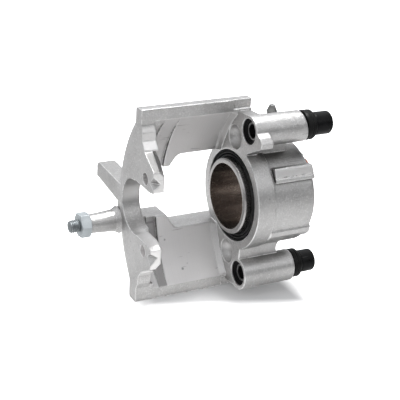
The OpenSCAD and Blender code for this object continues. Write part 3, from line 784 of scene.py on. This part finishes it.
def threaded_stud():
    """The stud with a real helical thread, and a chamfered, centre-drilled tip."""
    thread_end_x = -34.5
    drill_depth, drill_r, tip_r = 1.6, 1.3, 2.2
    segments, rows_per_pitch = 72, 12
    tip_x, end_x = x_ends("outboard_stud")
    rows = int((thread_end_x - tip_x) / THREAD_PITCH * rows_per_pitch)
    rings = [[(tip_x + drill_depth, STUD_Y, STUD_Z)]]
    for x, r in ((tip_x + 0.9, drill_r), (tip_x, tip_r)):
        rings.append(circle(x, r, STUD_Y, STUD_Z, segments))
    for k in range(rows + 1):
        x = tip_x + (thread_end_x - tip_x) * k / rows
        rings.append(circle(x, lambda turn: thread_radius(x, turn, tip_x, thread_end_x),
                            STUD_Y, STUD_Z, segments))
    for x in (thread_end_x + 0.02, end_x):
        rings.append(circle(x, STUD_R, STUD_Y, STUD_Z, segments))
    rings.append([(end_x, STUD_Y, STUD_Z)])
    rod = skin("threaded_stud", rings, sharp_deg=60)
    finish_piece(rod, STUD_STEEL, "fastener", "caliper", "outboard_stud")


def guide_bush(node, z):
    """The rubber bush: a ribbed mouth, a long bore, and a collar with a rounded edge behind the boss."""
    mouth_x, bore_r, wall_r = 66.45, 6.56, BUSH_WALL_R + 0.04
    first_rib, rib_pitch, rib_step, rib_r = 8.85, 0.7, 0.75, 0.34
    collar_x, collar_r, collar_round = 109.05, 11.1, 0.9
    profile = []
    for k in range(3):
        rib_x = mouth_x + rib_pitch / 2 + rib_pitch * k
        rib_height = first_rib - rib_step * k
        profile.append((rib_x + rib_pitch, rib_height + 0.36))
        profile += arc_points(rib_x, rib_height, rib_r, 90, 270, 6)
    profile += [(mouth_x + 2.6, bore_r + 0.3), (mouth_x + 3.0, bore_r), (COLLAR_END_X, bore_r)]
    profile += arc_points(COLLAR_END_X - collar_round, collar_r - collar_round, collar_round, 0, 90, 5)
    profile += ring_groove(COLLAR_END_X - 2.6, collar_r, -0.3, -0.4, 0.35)
    profile += [(collar_x + 0.55, collar_r), (collar_x, collar_r - 0.3), (collar_x, wall_r)]
    profile += [(mouth_x + 0.3, wall_r), (mouth_x, BUSH_WALL_R - 0.3)]
    bush = turned(node + "_ribbed", profile, GUIDE_Y, z, closed=True)
    finish_piece(bush, BUSH_RUBBER, "bush", "caliper", node)


def end_cap(node, z):
    """The black cap: a spigot in the bush, a ring groove, a rounded end and a shallow dimple."""
    cap_r, spigot_r, dimple_r = 8.6, 6.4, 4.2
    shoulder_x, groove_x = COLLAR_END_X + 0.05, 118.0
    end_round, dimple_depth = 1.3, 0.5
    start_x, end_x = x_ends(node)
    profile = [(start_x, 0.0), (start_x, spigot_r), (shoulder_x, spigot_r), (shoulder_x, cap_r)]
    profile += ring_groove(groove_x, cap_r, 0.25, 0.45, 0.25)
    profile += arc_points(end_x - end_round, cap_r - end_round, end_round, 90, 0, 7)
    profile += [(end_x, dimple_r), (end_x - dimple_depth, dimple_r - 0.3), (end_x - dimple_depth, 0.0)]
    cap = turned(node + "_moulded", profile, GUIDE_Y, z)
    finish_piece(cap, CAP_BLACK, "cap", "caliper", node)


def dust_boot():
    """Rubber ring: seated outside on the casting, with two folds, and a lip in the piston's groove."""
    lip_r, fold_r, ridge_r = 27.35, 0.75, 0.35
    face = FLANGE_X
    profile = [(face + 6.0, BOOT_SEAT_R), (face + 1.9, BOOT_SEAT_R)]
    profile += arc_points(face + 1.9, BOOT_SEAT_R - 0.7, 0.7, 90, 180, 4)
    profile += [(face + 1.3, 33.8), (face + 2.2, 33.5)]
    profile += arc_points(face + 2.4, 33.1, ridge_r, 90, 0, 3)[1:]
    profile += [(face + 2.6, 32.8)] + arc_points(face + 1.5, 32.3, fold_r, 60, 300, 9)
    profile += [(face + 2.7, 31.5)] + arc_points(face + 3.0, 31.1, ridge_r, 90, -90, 4)
    profile.append((face + 2.6, 30.7))
    profile += arc_points(face + 1.5, 30.1, fold_r, 60, 300, 9)
    profile += [(face + 2.2, 29.3), (face + 1.8, 28.7), (face + 0.9, 28.55), (face + 0.9, lip_r)]
    profile += [(face + 2.8, lip_r), (face + 3.1, 28.8), (face + 3.7, 29.2), (face + 3.7, 33.6)]
    profile.append((face + 5.9, 33.9))
    boot = turned("folded_dust_boot", profile, 0.0, 0.0, closed=True, segments=160)
    boot.data.materials.append(BOOT_RUBBER)
    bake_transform(boot)
    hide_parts("dust_boot")


def claw_root(name, inner_z, outer_z, back_y):
    """The metal between a flat end of the bridge and the claw, level with both."""
    claw_side_x, bridge_side_x, near_y = -0.05, 3.35, -0.96
    corners = [(x, y, z) for x in (claw_side_x, bridge_side_x) for y in (near_y, back_y)
               for z in (inner_z, outer_z)]
    sides = [(0, 1, 3, 2), (4, 6, 7, 5), (0, 4, 5, 1), (2, 3, 7, 6), (0, 2, 6, 4), (1, 5, 7, 3)]
    finish_piece(mesh_object(name, corners, sides), ROOT_CASTING, "casting", "caliper")


threaded_stud()
claw_root("upper_claw_root", 62.3, 66.05, 8.1)
claw_root("lower_claw_root", -66.05, -61.8, 9.7)
for make, kind in ((guide_bush, "guide_bush"), (end_cap, "end_cap")):
    make("upper_" + kind, GUIDE_Z)
    make("lower_" + kind, -GUIDE_Z)
dust_boot()


# Studio, in metres

FLOOR_HALF = 6.0
FLOOR_Z = CAD_BOX[0][2] - 0.00005
LIT_MIDDLE = (0.03, 0.0, 0.0)
CAMERA_TARGET = (0.0285, 0.0, 0.0)
CAMERA_DISTANCE = 0.7236
CAMERA_AZIMUTH, CAMERA_ELEVATION, CAMERA_ROLL = (math.radians(a) for a in (-28.03, 23.75, 3.22))

# Name, place, width and length, and power in watts
LAMPS = (
    ("overhead", (0.17, 0.11, 1.1), (0.22, 0.22), 12.5),
    ("left_front", (-1.25, -0.15, 0.45), (0.8, 0.8), 0.9),
    ("right_front", (0.62, -1.02, 0.80), (0.7, 0.4), 0.8),
)


def seen_straight(tree, path):
    """1 for what the camera sees, also through glass."""
    return most(tree, path["Is Camera Ray"], path["Is Transmission Ray"])


def floor_glow_painted_for_camera(tree, at):
    """Painted light: the floor's glow as seen straight, white away from the object and almost none round
    it, which shapes the shadow; its front edge runs aslant.
    """
    paper, shade, front_slope = 0.95, 0.03, 0.34
    shadow_middle = (0.065, -0.01, FLOOR_Z)
    from_shadow = vector_maths(tree, "DISTANCE", here(tree), shadow_middle)["Value"]
    around = ramp(tree, from_shadow, 0.058, 0.088, shade, paper)
    aslant = maths(tree, "ADD", at["Y"], times(tree, at["X"], front_slope))
    in_front = ramp(tree, aslant, -0.019, -0.003, paper, shade)
    to_right = ramp(tree, at["X"], 0.104, 0.122, shade, paper)
    return most(tree, around, in_front, to_right)


def floor_glow_painted_for_metal(tree, at):
    """Painted reflection: the floor's glow as metal mirrors it, bright round the object, and again far
    off.
    """
    middle = (0.04, 0.03, FLOOR_Z)
    under_bridge, under_cylinder, left_share, far_behind, far_in_front = 0.66, 0.40, 0.22, 0.23, 0.32
    away = ramp(tree, vector_maths(tree, "DISTANCE", here(tree), middle)["Value"], 0.14, 0.34)
    under = times(tree, ramp(tree, at["X"], 0.045, 0.085, under_bridge, under_cylinder),
                  ramp(tree, at["X"], -0.065, -0.015, left_share, 1.0))
    behind = ramp(tree, at["Y"], 0.04, 0.13, 0.0, far_behind)
    in_front = ramp(tree, at["Y"], -0.28, -0.06, far_in_front, 0.0)
    return most(tree, ramp(tree, away, 0.0, 1.0, under, 0.0), behind, in_front)


def plain_floor():
    """A white paper floor that keeps the object's shadow, with painted light: an uneven glow, and a
    darker colour for metal.
    """
    mesh = bpy.data.meshes.new("floor")
    corners = [(x * FLOOR_HALF, y * FLOOR_HALF, FLOOR_Z) for x, y in ((-1, -1), (1, -1), (1, 1), (-1, 1))]
    mesh.from_pydata(corners, [], [(0, 1, 2, 3)])
    floor = linked_object("floor", mesh)
    f = Finish("studio_white", 0.0, 0.9)
    f.shader.inputs["Specular IOR Level"].default_value = 0.1
    path = f.tree.nodes.new("ShaderNodeLightPath").outputs
    at = separate(f.tree, here(f.tree))
    # Painted reflection: metal sees a darker floor than the camera does
    f.colour(f.number(path["Is Glossy Ray"], 0.85, 0.36))
    glow = maths(f.tree, "ADD", times(f.tree, seen_straight(f.tree, path), floor_glow_painted_for_camera(f.tree, at)),
                 times(f.tree, path["Is Glossy Ray"], floor_glow_painted_for_metal(f.tree, at)))
    f.shader.inputs["Emission Color"].default_value = (1, 1, 1, 1)
    f.tree.links.new(glow, f.shader.inputs["Emission Strength"])
    mesh.materials.append(f.material)


def pale_world():
    """White as seen straight. As light it is brighter overhead, behind and to the left."""
    world = bpy.data.worlds.new("studio")
    bpy.context.scene.world = world
    world.use_nodes = True
    tree = world.node_tree
    ground = tree.nodes["Background"]
    ground.inputs["Color"].default_value = (0.97, 0.98, 1.0, 1)
    way = separate(tree, tree.nodes.new("ShaderNodeTexCoord").outputs["Generated"])
    above = ramp(tree, way["Z"], 0.1, 0.65, 0.13, 0.80)
    behind = ramp(tree, way["Y"], 0.1, 0.75, 0.0, 0.36)
    left = ramp(tree, way["X"], -0.9, 0.0, 0.10, 0.0)
    sky = maths(tree, "ADD", above, maths(tree, "ADD", behind, left))
    path = tree.nodes.new("ShaderNodeLightPath").outputs
    strength = ramp(tree, seen_straight(tree, path), 0.0, 1.0, sky, 1.0)
    tree.links.new(strength, ground.inputs["Strength"])


def soft_lamp(name, place, size, power):
    """A rectangular lamp that shines at the object's middle."""
    lamp = bpy.data.lights.new(name, "AREA")
    lamp.shape = "RECTANGLE"
    lamp.size, lamp.size_y = size
    lamp.energy = power
    holder = linked_object(name, lamp)
    holder.location = place
    holder.rotation_mode = "QUATERNION"
    holder.rotation_quaternion = (Vector(place) - Vector(LIT_MIDDLE)).to_track_quat("Z", "Y")


def camera():
    """The photograph's view, fitted to its edges."""
    level = math.cos(CAMERA_ELEVATION)
    back = Vector((math.sin(CAMERA_AZIMUTH) * level, -math.cos(CAMERA_AZIMUTH) * level,
                   math.sin(CAMERA_ELEVATION)))
    data = bpy.data.cameras.new("camera")
    data.sensor_width = 36
    data.lens = 89.25
    data.shift_x, data.shift_y = 0.0334, 0.00535
    data.clip_start, data.clip_end = 0.02, 30
    eye = linked_object("camera", data)
    eye.location = Vector(CAMERA_TARGET) + back * CAMERA_DISTANCE
    eye.rotation_mode = "QUATERNION"
    eye.rotation_quaternion = Quaternion(back, CAMERA_ROLL) @ back.to_track_quat("Z", "Y")
    bpy.context.scene.camera = eye


plain_floor()
pale_world()
for lamp_name, lamp_place, lamp_size, lamp_power in LAMPS:
    soft_lamp(lamp_name, lamp_place, lamp_size, lamp_power)
camera()
bpy.context.scene.view_settings.view_transform = "Standard"
